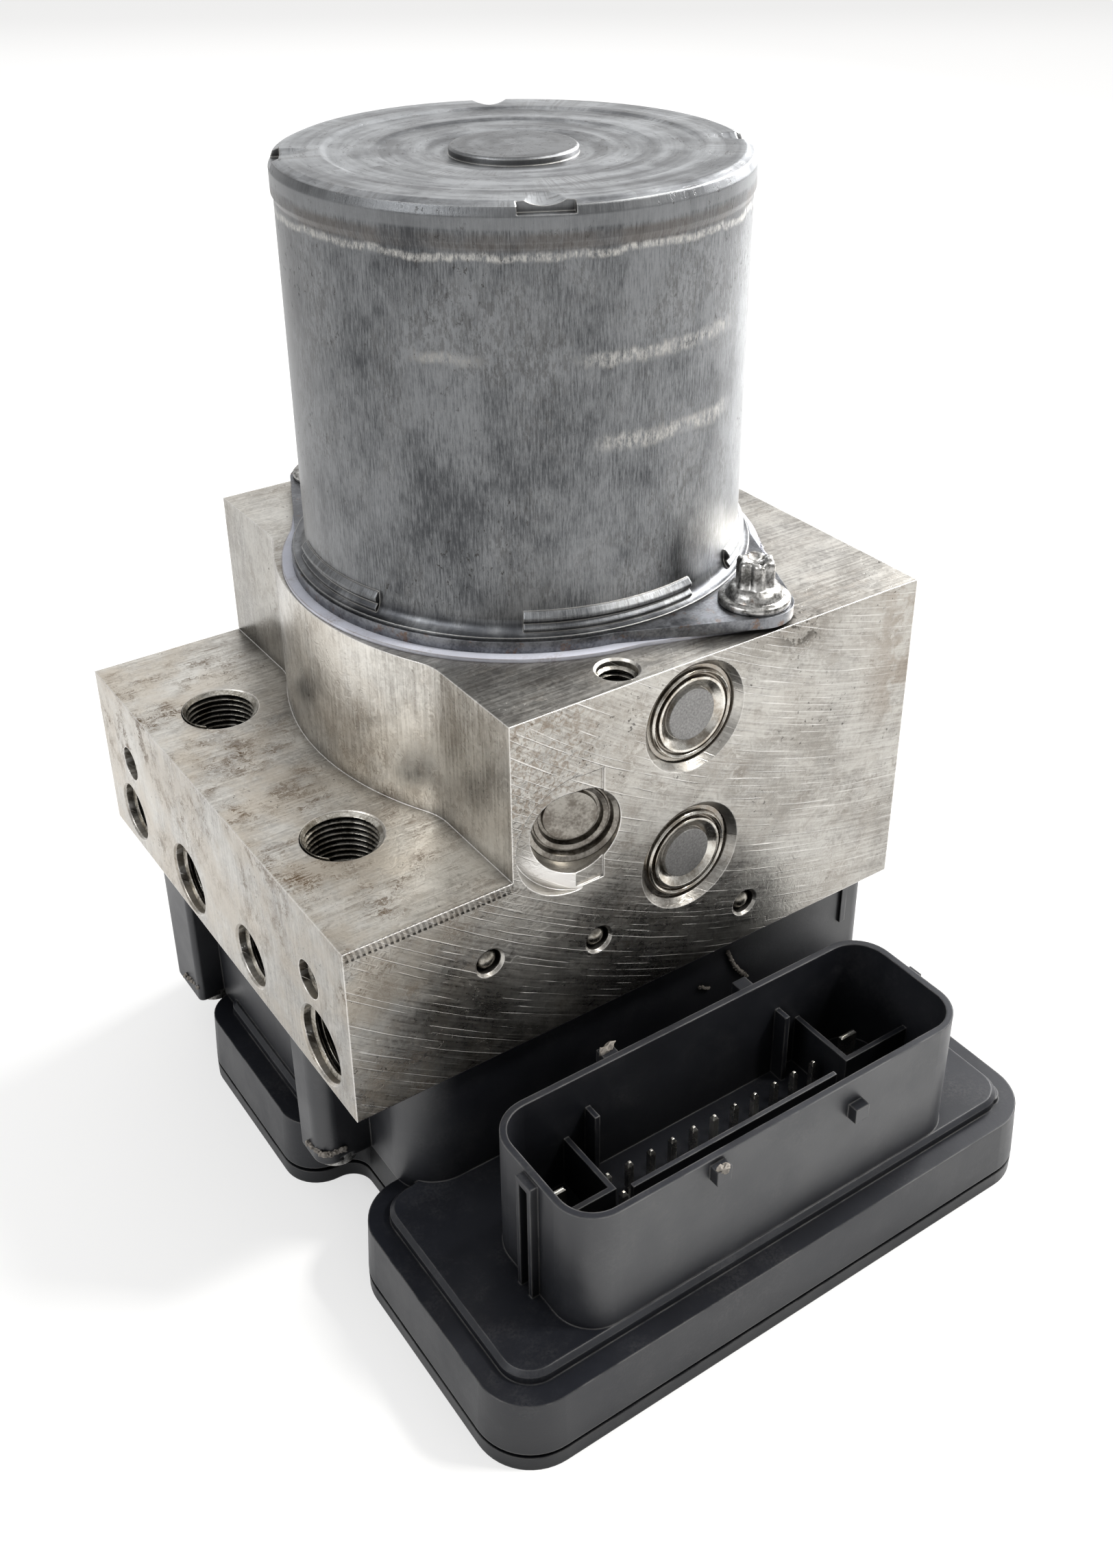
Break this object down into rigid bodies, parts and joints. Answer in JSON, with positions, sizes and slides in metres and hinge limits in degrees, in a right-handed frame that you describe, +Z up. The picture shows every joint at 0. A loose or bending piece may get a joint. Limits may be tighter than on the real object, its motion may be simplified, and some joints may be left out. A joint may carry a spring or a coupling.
{
  "type": "abs_brake_module",
  "caption": "Anti-lock brake module: a ported aluminium valve block, a pump motor on top, and a plastic control unit with its connector below.",
  "frame": {"origin": "where the motor's axis meets the underside of the control unit's cover", "axes": "+Z up along the motor axis, -X to the wheel ports, -Y to the front with the connector and the plugged bores"},
  "size_m": [0.1045, 0.1282, 0.1578],
  "materials": {
    "block_aluminium": "machined",
    "plug_steel": "machined",
    "bright_steel": "ground",
    "gasket_paper": "matt",
    "zinc_steel": "zinc plated",
    "casing_steel": "drawn and plated",
    "core_steel": "satin",
    "copper": "satin",
    "inner_plastic": "matt",
    "carbon": "matt",
    "spring_steel": "satin",
    "piston_aluminium": "satin",
    "seal_rubber": "matt",
    "valve_steel": "satin",
    "contact_tin": "satin",
    "housing_plastic": "satin",
    "cover_plastic": "satin",
    "board_laminate": "satin",
    "chip_resin": "matt"
  },
  "bodies": {
    "module": {"hydraulic_block": "block_aluminium", "pump_plugs": "plug_steel", "accumulator_plugs": "plug_steel", "damper_plugs": "plug_steel", "sealing_balls": "bright_steel", "lower_motor_bearing": "bright_steel", "upper_motor_bearing": "bright_steel", "pump_sleeves": "bright_steel", "motor_gasket": "gasket_paper", "motor_flange": "zinc_steel", "motor_bolts": "zinc_steel", "control_unit_screws": "zinc_steel", "motor_casing": "casing_steel", "motor_magnets": "core_steel", "coil_windings": "copper", "motor_contacts": "copper", "brush_carrier": "inner_plastic", "contact_sleeve": "inner_plastic", "motor_brushes": "carbon", "brush_springs": "spring_steel", "front_pump_spring": "spring_steel", "back_pump_spring": "spring_steel", "front_accumulator_spring": "spring_steel", "back_accumulator_spring": "spring_steel", "valve_springs": "spring_steel", "housing_seal": "seal_rubber", "inlet_valves": "valve_steel", "outlet_valves": "valve_steel", "coil_yokes": "valve_steel", "coil_pins": "contact_tin", "connector_pins": "contact_tin", "power_blades": "contact_tin", "control_housing": "housing_plastic", "control_cover": "cover_plastic", "circuit_board": "board_laminate", "board_chips": "chip_resin"},
    "rotor": {"motor_shaft": "bright_steel", "rotor_core": "core_steel", "rotor_winding": "copper", "commutator": "copper", "eccentric_bearing": "bright_steel"},
    "front_pump_piston_body": {"front_pump_piston": "bright_steel"},
    "back_pump_piston_body": {"back_pump_piston": "bright_steel"},
    "front_accumulator_body": {"front_accumulator_piston": "piston_aluminium", "front_accumulator_seal": "seal_rubber"},
    "back_accumulator_body": {"back_accumulator_piston": "piston_aluminium", "back_accumulator_seal": "seal_rubber"},
    "inlet_armature_1_body": {"inlet_armature_1": "valve_steel"},
    "inlet_armature_2_body": {"inlet_armature_2": "valve_steel"},
    "inlet_armature_3_body": {"inlet_armature_3": "valve_steel"},
    "inlet_armature_4_body": {"inlet_armature_4": "valve_steel"},
    "outlet_armature_1_body": {"outlet_armature_1": "valve_steel"},
    "outlet_armature_2_body": {"outlet_armature_2": "valve_steel"},
    "outlet_armature_3_body": {"outlet_armature_3": "valve_steel"},
    "outlet_armature_4_body": {"outlet_armature_4": "valve_steel"}
  },
  "joints": [
    {"name": "rotor_spin", "type": "hinge", "parent": "module", "child": "rotor", "pos_m": [0, 0, 0.12], "axis": [0, 0, 1], "continuous": true},
    {"name": "front_pump_stroke", "type": "slide", "parent": "module", "child": "front_pump_piston_body", "axis": [0, -1, 0], "range_m": [0, 0.0028], "stiffness_N_per_m": 400, "deforming": ["front_pump_spring"]},
    {"name": "front_accumulator_stroke", "type": "slide", "parent": "module", "child": "front_accumulator_body", "axis": [0, -1, 0], "range_m": [0, 0.006], "stiffness_N_per_m": 2500, "deforming": ["front_accumulator_spring"]},
    {"name": "back_pump_stroke", "type": "slide", "parent": "module", "child": "back_pump_piston_body", "axis": [0, 1, 0], "range_m": [0, 0.0028], "stiffness_N_per_m": 400, "deforming": ["back_pump_spring"]},
    {"name": "back_accumulator_stroke", "type": "slide", "parent": "module", "child": "back_accumulator_body", "axis": [0, 1, 0], "range_m": [0, 0.006], "stiffness_N_per_m": 2500, "deforming": ["back_accumulator_spring"]},
    {"name": "inlet_valve_1_lift", "type": "slide", "parent": "module", "child": "inlet_armature_1_body", "axis": [0, 0, 1], "range_m": [0, 0.0003], "stiffness_N_per_m": 400, "deforming": ["valve_springs"]},
    {"name": "inlet_valve_2_lift", "type": "slide", "parent": "module", "child": "inlet_armature_2_body", "axis": [0, 0, 1], "range_m": [0, 0.0003], "stiffness_N_per_m": 400, "deforming": ["valve_springs"]},
    {"name": "inlet_valve_3_lift", "type": "slide", "parent": "module", "child": "inlet_armature_3_body", "axis": [0, 0, 1], "range_m": [0, 0.0003], "stiffness_N_per_m": 400, "deforming": ["valve_springs"]},
    {"name": "inlet_valve_4_lift", "type": "slide", "parent": "module", "child": "inlet_armature_4_body", "axis": [0, 0, 1], "range_m": [0, 0.0003], "stiffness_N_per_m": 400, "deforming": ["valve_springs"]},
    {"name": "outlet_valve_1_lift", "type": "slide", "parent": "module", "child": "outlet_armature_1_body", "axis": [0, 0, 1], "range_m": [0, 0.0003], "stiffness_N_per_m": 400, "deforming": ["valve_springs"]},
    {"name": "outlet_valve_2_lift", "type": "slide", "parent": "module", "child": "outlet_armature_2_body", "axis": [0, 0, 1], "range_m": [0, 0.0003], "stiffness_N_per_m": 400, "deforming": ["valve_springs"]},
    {"name": "outlet_valve_3_lift", "type": "slide", "parent": "module", "child": "outlet_armature_3_body", "axis": [0, 0, 1], "range_m": [0, 0.0003], "stiffness_N_per_m": 400, "deforming": ["valve_springs"]},
    {"name": "outlet_valve_4_lift", "type": "slide", "parent": "module", "child": "outlet_armature_4_body", "axis": [0, 0, 1], "range_m": [0, 0.0003], "stiffness_N_per_m": 400, "deforming": ["valve_springs"]}
  ]
}
